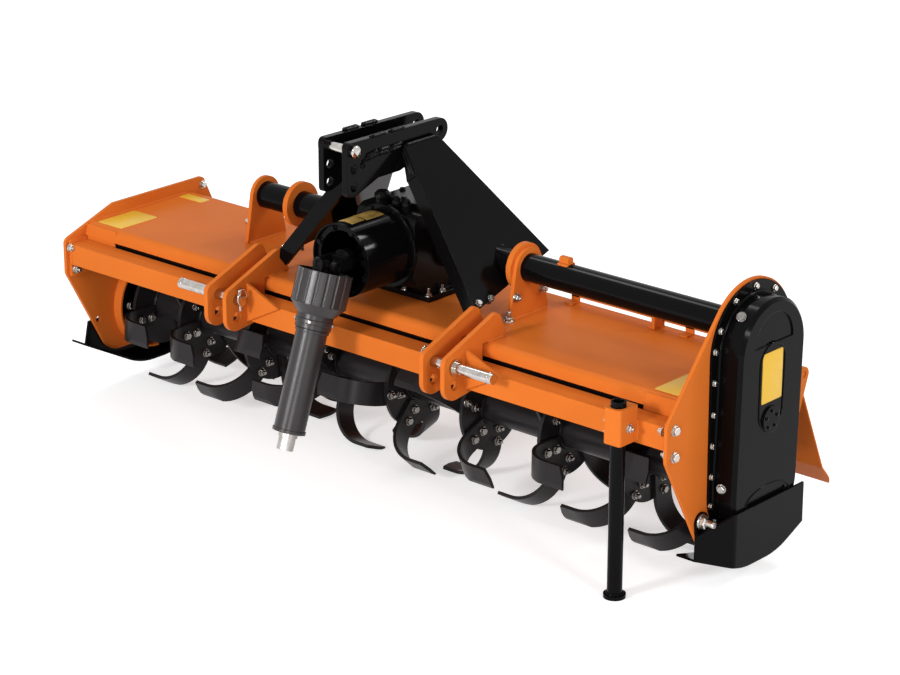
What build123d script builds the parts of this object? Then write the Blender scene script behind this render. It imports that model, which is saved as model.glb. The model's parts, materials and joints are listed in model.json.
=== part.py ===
from build123d import *
import math
import os

# Tractor-mounted rotavator, 2.1 m wide, parked on its rotor and its leg.
# +X is the gear case side, -Y is the tractor side, +Z is up; millimetres.
# Places in side view are given as back (from the beam's front face) and height.

# Frame: where the middle of the working width and the beam's front face lie
mid_x = -36.0
beam_front_y = -240.0
working_width = 2100.0
weld_gap = 0.2
running_gap = 0.3

# Front beam, a square tube with end flanges
beam_size = 60.0
beam_wall = 5.0
beam_flange_thick = 8.0
beam_flange_reach = 12.0
beam_flange_drop = 38.0
beam_flange_corner = 6.0

# Side plates: corner rounds, and the round head that carries the gear case
plate_thick = 10.0
plate_corner = 18.0
plate_head_margin = 5.0
plate_nose_back = 6.0
plate_nose_drop = 22.0
plate_shoulder_back = 176.0
plate_shoulder_rise = 16.0
plate_crown_back = 512.0
plate_heel_radius = 20.0
plate_foot_corner = 62.0
plate_foot_drop = 62.0
plate_foot_front = 172.0
plate_foot_rear = 400.0
plate_hole_radius = 9.0
plate_hole_back = 98.0
plate_hole_drop = 16.0
ring_guard_radius = 142.0
ring_guard_wall = 6.0
ring_guard_width = 30.0

# Rotor: tube, flanges and tines
rotor_axis_back = 300.0
rotor_tube_radius = 45.0
rotor_end_gap = 44.0
rotor_stub_radius = 30.0
flange_radius = 122.0
flange_thick = 10.0
flange_count = 7
flange_pitch = 263.0
flange_shift = -15.0
end_flange_gap = 62.0
flange_twist = 24.0
tine_pairs = 3
first_tine_deg = 49.0
right_end_tine_deg = 26.0
left_end_tine_deg = 106.0
tine_tip_radius = 222.0
tine_reach = 145.0
tine_bend_radius = 92.0
tine_width = 64.0
tine_thick = 9.0
tine_root_radius = 58.0
tine_end_slant = 16.0
tine_lean = 20.0
tine_lean_radius = 95.0

# Rotor bearing on the left plate
bearing_flange_radius = 112.0
bearing_flange_thick = 12.0
bearing_hub_radius = 62.0
bearing_hub_length = 36.0
bearing_hole_circle = 92.0
bearing_hole_radius = 7.0
bearing_hole_count = 6

# Hood over the rotor
sheet_thick = 6.0
tine_clearance = 56.0
hood_rise = 44.0
hood_front_back = 66.0
hood_lip_rise = 10.0
hood_end_lip = 120.0
hood_end_lip_drop = 16.0
hood_crease_step = 8.0
hood_flat_back = 470.0
hood_rear_back = 531.0
hood_rear_drop = 42.0
hood_bend_radius = 20.0

# Rear levelling board, hinged behind the hood
board_thick = 4.0
board_hinge_back = 545.0
board_hinge_drop = 60.0
board_hinge_radius = 11.0
hinge_pin_radius = 8.0
hinge_pin_reach = 8.0
board_knee_back = 130.0
board_knee_drop = 295.0
board_lip_back = 53.0
board_lip_drop = 61.0
board_bend_radius = 20.0
board_end_gap = 10.0
board_corner_radius = 30.0

# Cross drive: tubes, discs and brackets
shaft_axis_back = 310.0
shaft_rise = 125.0
drive_tube_radius = 37.0
tube_flange_radius = 62.0
tube_flange_thick = 16.0
right_disc_x = 354.0
left_disc_x = 455.0
left_tube_outer_x = 590.0
clamp_thick = 12.0
clamp_foot_half = 70.0
clamp_head_radius = 52.0
brace_from_plate = 376.0
brace_thick = 10.0
brace_back = 440.0
brace_height = 50.0
brace_head_radius = 18.0
brace_hole_radius = 8.0
bracket_corner = 4.0

# Side gear case: pressed body on a thin bolted flange
case_depth = 70.0
case_head_drop = 40.0
case_tail_rise = 16.0
case_flange_radius = 163.0
case_tail_flange_radius = 148.0
case_flange_thick = 6.0
case_body_radius = 132.0
case_edge = 9.0
case_dish_radius = 78.0
case_dish_depth = 4.0
case_dish_offset = 20.0
case_cap_radius = 34.0
case_cap_height = 5.0

# Gearbox on the hood, its input guard and input shaft
input_rise = 140.0
gearbox_front_back = 165.0
gearbox_rear_back = 420.0
gearbox_half_width = 100.0
gearbox_height = 220.0
gearbox_corner = 30.0
gearbox_chin = 70.0
gearbox_pedestal_front = 215.0
gearbox_base_thick = 15.0
gearbox_base_front = 200.0
gearbox_base_rear = 20.0
gearbox_base_side = 20.0
gearbox_lid_half = 70.0
gearbox_lid_thick = 14.0
boss_radius = 58.0
boss_length = 22.0
neck_radius = 76.0
neck_length = 36.0
cover_radius = 92.0
cover_thick = 18.0
cover_step_radius = 60.0
cover_step = 10.0
guard_radius = 98.0
guard_wall = 4.0
guard_front_back = -4.0
input_shaft_radius = 17.5

# Universal joint and hanging half drive shaft
joint_back = -54.0
shaft_hang_deg = 70.0
yoke_hub_radius = 28.0
yoke_hub_length = 24.0
yoke_arm_gap = 46.0
yoke_arm_thick = 14.0
yoke_arm_width = 30.0
yoke_arm_length = 54.0
yoke_bridge = 12.0
cross_radius = 8.0
cross_hub = 24.0
cross_end_gap = 2.0
bore_gap = 0.5
bell_start = 16.0
bell_radius = 68.0
bell_wall = 4.0
bell_rim = 86.0
bell_length = 112.0
bell_end_radius = 50.0
bell_grooves = 18
bell_groove_radius = 5.0
collar_radius = 47.0
collar_end = 165.0
pto_tube_radius = 41.0
pto_tube_end = 437.0
pto_shaft_radius = 25.0
pto_stub_radius = 22.0
pto_stub_length = 34.0

# Headstock: mast plates, top link plates and their pin
mast_height = 439.0
mast_thick = 12.0
mast_top_drop = 26.0
mast_top_front = 172.0
mast_top_rear = 300.0
mast_foot_front = 118.0
mast_foot_rear = 468.0
mast_foot_rise = 44.0
mast_rear_rise = 84.0
mast_foot_overlap = 3.0
mast_flange = 30.0
mast_flange_start = 84.0
top_pin_back = -5.0
top_pin_radius = 12.5
top_pin_overhang = 5.0
top_plate_thick = 18.0
top_plate_gap = 64.0
top_plate_margin = 24.0
top_plate_corner = 13.0
top_hole_pitch = 47.0
top_leg_width = 40.0
top_leg_drop = 119.0
top_arch_drop = 75.0
top_arch_back = 165.0
top_arch_front = 84.0
rear_ear_back = 320.0
rear_ear_drop = 12.0
rear_ear_radius = 31.0
rear_ear_hole_radius = 12.5

# Lower link brackets and pins
link_pin_back = -45.0
link_pin_rise = 70.0
link_pin_radius = 14.0
link_pin_collar_radius = 22.0
link_pin_collar = 8.0
link_pin_free = 118.0
link_pin_inner_end = 22.0
link_plate_thick = 14.0
link_pair_x = 382.0
link_plate_gap = 56.0
link_hole_drop = 48.0
link_lobe_radius = 39.0
link_front_corner = 20.0
link_front_rise = 12.0
link_tail_back = 112.0
link_tail_rise = 46.0
link_tail_corner = 20.0
link_rear_back = 146.0
link_heel_back = 16.0
link_heel_corner = 5.0
gusset_reach = 116.0
gusset_thick = 8.0
gusset_rise = 46.0

# Parking leg and its sleeve
leg_from_plate = 115.0
leg_back = -40.0
leg_radius = 19.0
leg_wall = 4.0
leg_above_beam = 50.0
leg_foot_radius = 28.0
leg_foot_thick = 10.0
leg_gap = 0.4
sleeve_width = 52.0
sleeve_corner = 8.0
sleeve_below_top = 92.0
sleeve_above_beam = 38.0

# Depth skids
skid_sole_z = 50.0
skid_sheet = 6.0
skid_bend_share = 1.6
skid_width = 128.0
skid_left_width = 60.0
skid_front_back = 104.0
skid_front_rise = 34.0
skid_turn_back = 164.0
skid_turn_radius = 24.0
skid_nose_back = 10.0
skid_nose_rise = 112.0
skid_nose_lip = 26.0
skid_nose_slant = 34.0
skid_low_front = 215.0
skid_low_rear = 345.0
skid_rear_back = 450.0
skid_rear_rise = 46.0
skid_wall_rise = 154.0
skid_front_wall = 95.0
skid_outer_gap = 2.0
skid_ear_width = 50.0

# Derived places
plate_inner_x = working_width / 2
plate_outer_x = plate_inner_x + plate_thick
rotor_axis_z = tine_tip_radius
hood_top_z = rotor_axis_z + tine_tip_radius + tine_clearance
beam_top_z = hood_top_z - hood_rise
beam_bottom_z = beam_top_z - beam_size
plate_nose_low_z = beam_bottom_z - plate_nose_drop
plate_shoulder_z = hood_top_z + plate_shoulder_rise
plate_foot_z = rotor_axis_z - plate_foot_drop
board_hinge_z = hood_top_z - board_hinge_drop
shaft_axis_z = hood_top_z + shaft_rise
input_axis_z = hood_top_z + input_rise
case_head_z = shaft_axis_z - case_head_drop
case_tail_z = rotor_axis_z + case_tail_rise
top_pin_z = hood_top_z + mast_height
mast_top_z = top_pin_z - mast_top_drop
mast_foot_z = hood_top_z + mast_foot_rise
mast_top_x = top_plate_gap / 2 + top_plate_thick
mast_foot_x = link_pair_x - link_plate_gap / 2 - link_plate_thick + mast_foot_overlap
link_pin_z = beam_bottom_z + link_pin_rise
leg_x = plate_inner_x - leg_from_plate
leg_length = beam_top_z + leg_above_beam
skid_bend_radius = skid_bend_share * (skid_low_rear - skid_low_front)
rotor_y = beam_front_y + rotor_axis_back
shaft_y = beam_front_y + shaft_axis_back
joint_y = beam_front_y + joint_back


def back(distance):
    """Y of a place measured back from the beam's front face."""
    return beam_front_y + distance


def across(offset):
    """X of a place measured from the middle of the working width."""
    return mid_x + offset


def side_outline(points, radius=0.0):
    """Face in side view from (back, height) points, all corners rounded by radius."""
    outline = make_face(Polyline(*[(back(b), z) for b, z in points], close=True))
    return fillet(outline.vertices(), radius) if radius else outline


def round_outline(corners):
    """Convex face in side view, stretched round corner circles given as (back, height, radius)."""
    edges = ShapeList()
    for b, z, radius in corners:
        edges += (Pos(back(b), z) * Circle(radius)).edges()
    return make_hull(edges)


def along_x(face, start_x, length):
    """Solid of a side-view face that starts at start_x and runs towards +X."""
    return extrude(Plane.YZ.offset(start_x) * face, length, dir=(1, 0, 0))


def rod_x(start_x, length, y, z, radius):
    """Round bar along X."""
    return along_x(Pos(y, z) * Circle(radius), start_x, length)


def rod_y(x, start_y, length, z, radius):
    """Round bar along Y."""
    return extrude(Plane.XZ.offset(-start_y) * (Pos(x, z) * Circle(radius)), length, dir=(0, 1, 0))


def bent_sheet(points, thick, radius, start_x, length):
    """Sheet that follows side-view points, its bends rounded."""
    path = FilletPolyline(*[(back(b), z) for b, z in points], radius=radius)
    return along_x(trace(path, thick), start_x, length)


def mirrored(shape, side):
    """The shape itself on the right (side +1), its mirror image on the left (side -1)."""
    return shape if side > 0 else mirror(shape, Plane.YZ.offset(mid_x))


def plate_corners():
    """Corner rounds that both side plates share: nose and foot."""
    return [(plate_nose_back, plate_nose_low_z, plate_corner), (plate_nose_back, beam_top_z, plate_corner),
            (plate_foot_rear, plate_foot_z, plate_foot_corner),
            (plate_foot_front, plate_foot_z, plate_foot_corner)]


def plate_heel():
    """Round of a side plate about the rear board's hinge."""
    return (board_hinge_back, board_hinge_z, plate_heel_radius)


def board_pin_hole(start_x):
    """Hole through a side plate for the rear board's hinge pin."""
    radius = hinge_pin_radius + running_gap
    return rod_x(start_x, plate_thick, back(board_hinge_back), board_hinge_z, radius)


def ring_guard():
    """Half ring on the left plate's inner face, open at the back, that keeps soil off the bearing."""
    start_x = across(-plate_inner_x)
    ring = rod_x(start_x, ring_guard_width, rotor_y, rotor_axis_z, ring_guard_radius)
    ring = ring - rod_x(start_x, ring_guard_width, rotor_y, rotor_axis_z, ring_guard_radius - ring_guard_wall)
    rear = Box(2 * ring_guard_width, ring_guard_radius, 2 * ring_guard_radius,
               align=(Align.CENTER, Align.MIN, Align.CENTER))
    return ring - Pos(start_x, rotor_y, rotor_axis_z) * rear


def side_plate_left():
    start_x = across(-plate_outer_x)
    crown = [(plate_shoulder_back, plate_shoulder_z, plate_corner),
             (plate_crown_back, plate_shoulder_z, plate_corner), plate_heel()]
    plate = along_x(round_outline(plate_corners() + crown), start_x, plate_thick)
    hole_z = rotor_axis_z - plate_hole_drop
    hole = rod_x(start_x, plate_thick, back(plate_hole_back), hole_z, plate_hole_radius)
    return plate - hole - board_pin_hole(start_x) + ring_guard()


def side_plate_right():
    start_x = across(plate_inner_x)
    head = [(shaft_axis_back, case_head_z, case_flange_radius + plate_head_margin)]
    heel = [plate_heel(), (rotor_axis_back, board_hinge_z, plate_heel_radius),
            (plate_foot_rear, plate_foot_z, plate_foot_corner)]
    outline = round_outline(plate_corners() + head) + round_outline(heel)
    plate = along_x(outline, start_x, plate_thick)
    bore = rod_x(start_x, plate_thick, rotor_y, rotor_axis_z, rotor_stub_radius + running_gap)
    return plate - bore - board_pin_hole(start_x)


def front_beam():
    outer = Rectangle(beam_size, beam_size)
    inner = offset(outer, -beam_wall, kind=Kind.INTERSECTION)
    centre = Pos(back(beam_size / 2), beam_bottom_z + beam_size / 2)
    tube_length = working_width - 2 * beam_flange_thick
    tube = along_x(centre * (outer - inner), across(-tube_length / 2), tube_length)
    low, high = beam_bottom_z - beam_flange_drop, beam_top_z + beam_flange_reach
    flange = side_outline([(0, low), (0, high), (beam_size, high), (beam_size, low)], beam_flange_corner)
    left = along_x(flange, across(-plate_inner_x), beam_flange_thick)
    right = along_x(flange, across(plate_inner_x - beam_flange_thick), beam_flange_thick)
    return tube + left + right


def hood():
    """Folded sheet: short front lip that is deeper at both ends, flat top, sloping tail down to the hinge."""
    middle_z = hood_top_z - sheet_thick / 2
    points = [(hood_front_back, beam_top_z + hood_lip_rise), (hood_front_back + hood_crease_step, middle_z),
              (hood_flat_back, middle_z), (hood_rear_back, hood_top_z - hood_rear_drop)]
    sheet = bent_sheet(points, sheet_thick, hood_bend_radius, across(-plate_inner_x), working_width)
    low = (hood_front_back, beam_top_z - hood_end_lip_drop)
    lip = Polyline(*[(back(b), z) for b, z in (low, points[0], points[1])])
    for start_x in (-plate_inner_x, plate_inner_x - hood_end_lip):
        sheet = sheet + along_x(trace(lip, sheet_thick), across(start_x), hood_end_lip)
    return sheet


def rear_board():
    """Hinge barrel with end pins, and the board with its flared lip."""
    width = working_width - 2 * board_end_gap
    start_x = across(-width / 2)
    barrel_y = back(board_hinge_back)
    barrel = rod_x(start_x, width, barrel_y, board_hinge_z, board_hinge_radius)
    pin_length = working_width + 2 * hinge_pin_reach
    barrel = barrel + rod_x(across(-pin_length / 2), pin_length, barrel_y, board_hinge_z, hinge_pin_radius)
    knee = (board_hinge_back + board_knee_back, board_hinge_z - board_knee_drop)
    points = [(board_hinge_back, board_hinge_z), knee, (knee[0] + board_lip_back, knee[1] - board_lip_drop)]
    plan = Rectangle(width, knee[0] + board_lip_back + board_thick, align=(Align.CENTER, Align.MIN))
    plan = Pos(mid_x, back(0)) * fillet(plan.vertices().sort_by(Axis.Y)[-2:], board_corner_radius)
    sheet = bent_sheet(points, board_thick, board_bend_radius, start_x, width)
    return barrel + (sheet & extrude(plan, board_hinge_z + board_hinge_radius))


def link_plate(start_x, gusset=False):
    """Lower link plate: rounded lobe in front of the beam, tail on the hood, beam passing through."""
    lobe_z = link_pin_z - link_hole_drop
    front = link_pin_back - link_lobe_radius
    corners = [(link_pin_back, lobe_z, link_lobe_radius),
               (front + link_front_corner, link_pin_z + link_front_rise, link_front_corner),
               (link_tail_back, hood_top_z + link_tail_rise, link_tail_corner),
               (link_rear_back, hood_top_z + link_heel_corner, link_heel_corner),
               (link_heel_back, beam_bottom_z - link_heel_corner, link_heel_corner)]
    plate = along_x(round_outline(corners), start_x, link_plate_thick)
    under_hood = along_x(side_outline([(0, beam_bottom_z), (0, beam_top_z), (beam_size, beam_top_z),
                                       (beam_size, hood_top_z), (link_rear_back * 2, hood_top_z),
                                       (link_rear_back * 2, beam_bottom_z)]), start_x, link_plate_thick)
    plate = plate - under_hood
    pin_y = back(link_pin_back)
    plate = plate - rod_x(start_x, link_plate_thick, pin_y, link_pin_z, link_pin_radius + weld_gap)
    plate = plate - rod_x(start_x, link_plate_thick, pin_y, lobe_z, link_pin_radius)
    return plate + link_gusset(start_x + link_plate_thick) if gusset else plate


def link_gusset(start_x):
    """Triangular web on the beam's front face beside a link plate."""
    outline = make_face(Polyline((start_x, beam_bottom_z), (start_x, beam_top_z + gusset_rise),
                                 (start_x + gusset_reach, beam_top_z), close=True))
    return extrude(Plane.XZ.offset(-back(0)) * outline, gusset_thick, dir=(0, -1, 0))


def link_plate_starts(side):
    """Start X of the inner and the outer plate of the pair on one side (-1 left, +1 right)."""
    half = link_plate_gap / 2
    near = across(side * (link_pair_x - half)) - (link_plate_thick if side > 0 else 0)
    far = across(side * (link_pair_x + half)) - (0 if side > 0 else link_plate_thick)
    return near, far


def link_pin(side):
    """Lower link pin: through both plates of its pair, a collar outside them and a free end for the ball."""
    outer_face = link_pair_x + link_plate_gap / 2 + link_plate_thick
    inner_end = link_pair_x - link_plate_gap / 2 - link_plate_thick - link_pin_inner_end
    length = outer_face - inner_end + link_pin_collar + link_pin_free
    pin_y = back(link_pin_back)
    pin = rod_x(across(inner_end), length, pin_y, link_pin_z, link_pin_radius)
    pin = pin + rod_x(across(outer_face), link_pin_collar, pin_y, link_pin_z, link_pin_collar_radius)
    return mirrored(pin, side)


def drive_tube_space():
    """Room for the cross tube through a plate that is welded round it."""
    return rod_x(mid_x, working_width / 2, shaft_y, shaft_axis_z, drive_tube_radius + weld_gap)


def mast_plate(side):
    """Splayed side plate of the headstock with a folded front edge, drawn flat and then leaned out."""
    spread = mast_foot_x - mast_top_x
    height = mast_top_z - mast_foot_z
    slope = math.hypot(spread, height)
    front_top, front_foot = back(mast_top_front), back(mast_foot_front)
    outline = make_face(Polyline((front_top, 0), (back(mast_top_rear), 0),
                                 (back(mast_foot_rear), mast_rear_rise - slope),
                                 (front_foot, -slope), close=True))
    flat = extrude(Plane.YZ * outline, mast_thick, dir=(1, 0, 0))
    fold_start = front_top + (front_foot - front_top) * mast_flange_start / slope
    fold = make_face(Polyline((fold_start, -mast_flange_start), (fold_start + mast_thick, -mast_flange_start),
                              (front_foot + mast_thick, -slope), (front_foot, -slope), close=True))
    flat = flat + extrude(Plane.YZ * fold, mast_flange, dir=(-1, 0, 0))
    splay = math.degrees(math.atan2(spread, height))
    placed = Pos(across(mast_top_x), 0, mast_top_z) * Rot(0, -splay, 0) * flat
    return mirrored(placed - drive_tube_space(), side)


def top_link_plate(side):
    """Upper plate of the headstock: front leg with three holes, arch under it, rear ear with a hole."""
    start_x = across(top_plate_gap / 2)
    front = top_pin_back - top_plate_margin
    top_z = top_pin_z + top_plate_margin
    leg_rear, leg_low = front + top_leg_width, top_pin_z - top_leg_drop
    ear_z = top_pin_z - rear_ear_drop
    bar = round_outline([(front + top_plate_corner, top_z - top_plate_corner, top_plate_corner),
                         (front + top_plate_corner, top_pin_z - top_arch_drop, top_plate_corner),
                         (top_arch_back, top_pin_z - top_arch_drop, top_plate_corner),
                         (rear_ear_back, ear_z, rear_ear_radius)])
    leg = round_outline([(front + top_plate_corner, top_pin_z, top_plate_corner),
                         (top_arch_front, top_pin_z - top_arch_drop, top_plate_corner),
                         (front + top_plate_corner, leg_low + top_plate_corner, top_plate_corner),
                         (leg_rear - top_plate_corner, leg_low + top_plate_corner, top_plate_corner)])
    plate = along_x(bar + leg, start_x, top_plate_thick)
    pin_y = back(top_pin_back)
    plate = plate - rod_x(start_x, top_plate_thick, pin_y, top_pin_z, top_pin_radius + weld_gap)
    for step in (1, 2):
        hole_z = top_pin_z - step * top_hole_pitch
        plate = plate - rod_x(start_x, top_plate_thick, pin_y, hole_z, top_pin_radius)
    plate = plate - rod_x(start_x, top_plate_thick, back(rear_ear_back), ear_z, rear_ear_hole_radius)
    return mirrored(plate, side)


def top_link_pin():
    half = top_plate_gap / 2 + top_plate_thick + top_pin_overhang
    return rod_x(across(-half), 2 * half, back(top_pin_back), top_pin_z, top_pin_radius)


def gearbox_housing():
    """Cast block with a round chin on a base flange, bosses for the cross tubes, a front neck and a lid."""
    floor_z = hood_top_z + gearbox_base_thick
    top_z = floor_z + gearbox_height
    inset = gearbox_corner
    chin = gearbox_chin
    corners = [(gearbox_front_back + inset, top_z - inset, inset),
               (gearbox_front_back + chin, floor_z + chin, chin),
               (gearbox_rear_back - inset, top_z - inset, inset),
               (gearbox_rear_back - inset, floor_z + inset, inset)]
    body = along_x(round_outline(corners), across(-gearbox_half_width), 2 * gearbox_half_width)
    pedestal = side_outline([(gearbox_pedestal_front, hood_top_z), (gearbox_pedestal_front, floor_z + inset),
                             (gearbox_rear_back, floor_z + inset), (gearbox_rear_back, hood_top_z)])
    body = body + along_x(pedestal, across(-gearbox_half_width), 2 * gearbox_half_width)
    base = side_outline([(gearbox_base_front, hood_top_z), (gearbox_base_front, floor_z),
                         (gearbox_rear_back + gearbox_base_rear, floor_z),
                         (gearbox_rear_back + gearbox_base_rear, hood_top_z)])
    base_half = gearbox_half_width + gearbox_base_side
    body = body + along_x(base, across(-base_half), 2 * base_half)
    boss_half = gearbox_half_width + boss_length
    body = body + rod_x(across(-boss_half), 2 * boss_half, shaft_y, shaft_axis_z, boss_radius)
    neck_start = back(gearbox_front_back - neck_length)
    body = body + rod_y(mid_x, neck_start, neck_length + gearbox_corner, input_axis_z, neck_radius)
    lid = Pos(mid_x, back((gearbox_front_back + gearbox_rear_back) / 2), top_z)
    lid = lid * Box(2 * gearbox_lid_half, 2 * gearbox_lid_half, 2 * gearbox_lid_thick)
    return body + chamfer(lid.edges().filter_by(Axis.Z), gearbox_lid_thick)


def gearbox_cover():
    start_y = back(gearbox_rear_back)
    cover = rod_y(mid_x, start_y, cover_thick, input_axis_z, cover_radius)
    return cover + rod_y(mid_x, start_y + cover_thick, cover_step, input_axis_z, cover_step_radius)


def input_guard():
    length = gearbox_front_back - guard_front_back
    tube = rod_y(mid_x, back(guard_front_back), length, input_axis_z, guard_radius)
    return tube - rod_y(mid_x, back(guard_front_back), length, input_axis_z, guard_radius - guard_wall)


def yoke():
    """Yoke at the origin: hub along +Y behind it, two arms that hold the cross along X."""
    arm_x = (yoke_arm_gap + yoke_arm_thick) / 2
    hub_y = yoke_arm_length + yoke_hub_length / 2
    body = Pos(0, hub_y, 0) * Rot(90, 0, 0) * Cylinder(yoke_hub_radius, yoke_hub_length)
    bridge = Box(yoke_arm_gap + 2 * yoke_arm_thick, yoke_bridge, yoke_arm_width)
    body = body + Pos(0, yoke_arm_length - yoke_bridge / 2, 0) * bridge
    for side in (-1, 1):
        pin_axis = Pos(side * arm_x, 0, 0) * Rot(0, 90, 0)
        arm = Pos(side * arm_x, yoke_arm_length / 2, 0) * Box(yoke_arm_thick, yoke_arm_length, yoke_arm_width)
        body = body + arm + pin_axis * Cylinder(yoke_arm_width / 2, yoke_arm_thick)
        body = body - pin_axis * Cylinder(cross_radius + bore_gap, yoke_arm_thick)
    return body


def input_yoke():
    shaft_length = gearbox_front_back - neck_length - joint_back - yoke_arm_length
    shaft = rod_y(mid_x, joint_y + yoke_arm_length, shaft_length, input_axis_z, input_shaft_radius)
    return Pos(mid_x, joint_y, input_axis_z) * yoke() + shaft


def hung(shape):
    """Put a shape built about the joint, shaft along -Y, into its hanging place."""
    return Pos(mid_x, joint_y, input_axis_z) * Rot(shaft_hang_deg, 0, 0) * shape


def pto_cross():
    length = yoke_arm_gap + 2 * (yoke_arm_thick - cross_end_gap)
    across_input = Rot(0, 90, 0) * Cylinder(cross_radius, length)
    across_output = Cylinder(cross_radius, length)
    return hung(across_input + across_output + Box(cross_hub, cross_hub, cross_hub))


def pto_yoke():
    return hung(Rot(0, 0, 180) * Rot(0, 90, 0) * yoke())


def pto_guard():
    """Plastic bell with moulded grooves, collar and tube, its axis along -Y before it hangs."""
    bore = pto_shaft_radius + running_gap
    bell_end = bell_start + bell_length
    outer = bell_radius + bell_wall
    path = [(bore, bell_end), (bell_radius, bell_start), (outer, bell_start), (outer, bell_start + bell_rim),
            (bell_end_radius, bell_end), (collar_radius, bell_end), (collar_radius, collar_end),
            (pto_tube_radius, collar_end), (pto_tube_radius, pto_tube_end), (bore, pto_tube_end)]
    guard = revolve(make_face(Polyline(*[(r, -d) for r, d in path], close=True)), Axis.Y)
    groove = Pos(outer + bell_groove_radius / 2, -bell_start - bell_rim / 2, 0) * Rot(90, 0, 0)
    groove = groove * Cylinder(bell_groove_radius, bell_rim)
    for step in range(bell_grooves):
        guard = guard - Rot(0, step * 360 / bell_grooves, 0) * groove
    return hung(guard)


def pto_inner_shaft():
    start = yoke_arm_length + yoke_hub_length
    end = pto_tube_end + pto_shaft_radius / 2
    shaft = Pos(0, -(start + end) / 2, 0) * Rot(90, 0, 0) * Cylinder(pto_shaft_radius, end - start)
    stub = Pos(0, -end - pto_stub_length / 2, 0) * Rot(90, 0, 0) * Cylinder(pto_stub_radius, pto_stub_length)
    return hung(shaft + stub)


def drive_tube(start_x, end_x):
    return rod_x(across(start_x), end_x - start_x, shaft_y, shaft_axis_z, drive_tube_radius)


def tube_flange(start_x):
    """Disc welded round a cross tube."""
    disc = rod_x(across(start_x), tube_flange_thick, shaft_y, shaft_axis_z, tube_flange_radius)
    bore_radius = drive_tube_radius + weld_gap
    return disc - rod_x(across(start_x), tube_flange_thick, shaft_y, shaft_axis_z, bore_radius)


def upright_lug(head_back, head_z, head_radius, foot_half):
    """Side-view outline of a lug that stands on the hood under a round head."""
    foot_z = hood_top_z + bracket_corner
    return round_outline([(head_back, head_z, head_radius), (head_back - foot_half, foot_z, bracket_corner),
                          (head_back + foot_half, foot_z, bracket_corner)])


def tube_clamp(start_x):
    """Bracket with a round head that stands on the hood and holds a tube."""
    bracket = upright_lug(shaft_axis_back, shaft_axis_z, clamp_head_radius, clamp_foot_half)
    bracket = along_x(bracket, across(start_x), clamp_thick)
    return bracket - rod_x(across(start_x), clamp_thick, shaft_y, shaft_axis_z, drive_tube_radius + weld_gap)


def hood_brace():
    """Small upright lug with a hole, on the hood behind the right cross tube."""
    head_z = hood_top_z + brace_height - brace_head_radius
    start_x = across(plate_inner_x - brace_from_plate)
    outline = upright_lug(brace_back, head_z, brace_head_radius, brace_head_radius - bracket_corner)
    lug = along_x(outline, start_x, brace_thick)
    return lug - rod_x(start_x, brace_thick, back(brace_back), head_z, brace_hole_radius)


def case_outline(head_radius, tail_radius):
    """Side-view outline of the gear case, round about the cross shaft and about the rotor."""
    return round_outline([(shaft_axis_back, case_head_z, head_radius),
                          (rotor_axis_back, case_tail_z, tail_radius)])


def case_dish(back_place, centre_z, turn):
    """Half-round dish pressed into the case's outer face, its flat side towards the middle."""
    flat_side = Line((-case_dish_radius, 0), (case_dish_radius, 0))
    half = make_face(CenterArc((0, 0), case_dish_radius, 0, 180) + flat_side)
    placed = Pos(back(back_place), centre_z) * Rot(0, 0, turn) * half
    return along_x(placed, across(plate_outer_x + case_depth - case_dish_depth), case_dish_depth)


def gear_case():
    """Bolted flange and pressed body with two dishes and a round cap."""
    start_x = across(plate_outer_x)
    flange = along_x(case_outline(case_flange_radius, case_tail_flange_radius), start_x, case_flange_thick)
    body = along_x(case_outline(case_body_radius, case_body_radius), start_x, case_depth)
    body = chamfer(body.faces().sort_by(Axis.X)[-1].edges(), case_edge)
    upper = case_dish(shaft_axis_back, case_head_z + case_dish_offset, 0)
    lower = case_dish(rotor_axis_back, case_tail_z - case_dish_offset, 180)
    cap_start = across(plate_outer_x + case_depth)
    cap = rod_x(cap_start, case_cap_height, back((shaft_axis_back + rotor_axis_back) / 2),
                (case_head_z + case_tail_z) / 2, case_cap_radius)
    return flange + body - upper - lower + cap


def skid_line(nose_back, nose_rise):
    """Middle line of a sole in side view: nose, level middle, rising tail."""
    middle_z = skid_sole_z + skid_sheet / 2
    return [(nose_back, skid_sole_z + nose_rise), (skid_low_front, middle_z), (skid_low_rear, middle_z),
            (skid_rear_back, middle_z + skid_rear_rise)]


def above_sole(line, front_rim, start_x, length):
    """Room above a sole line up to the wall's level top, its front edge running through front_rim."""
    places = [(back(b), z) for b, z in line]
    rim = [places[-1], (back(skid_rear_back), skid_sole_z + skid_wall_rise)]
    rim = rim + [(back(b), z) for b, z in front_rim] + [places[0]]
    face = make_face(FilletPolyline(*places, radius=skid_bend_radius) + Polyline(*rim))
    return along_x(face, start_x, length)


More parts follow.
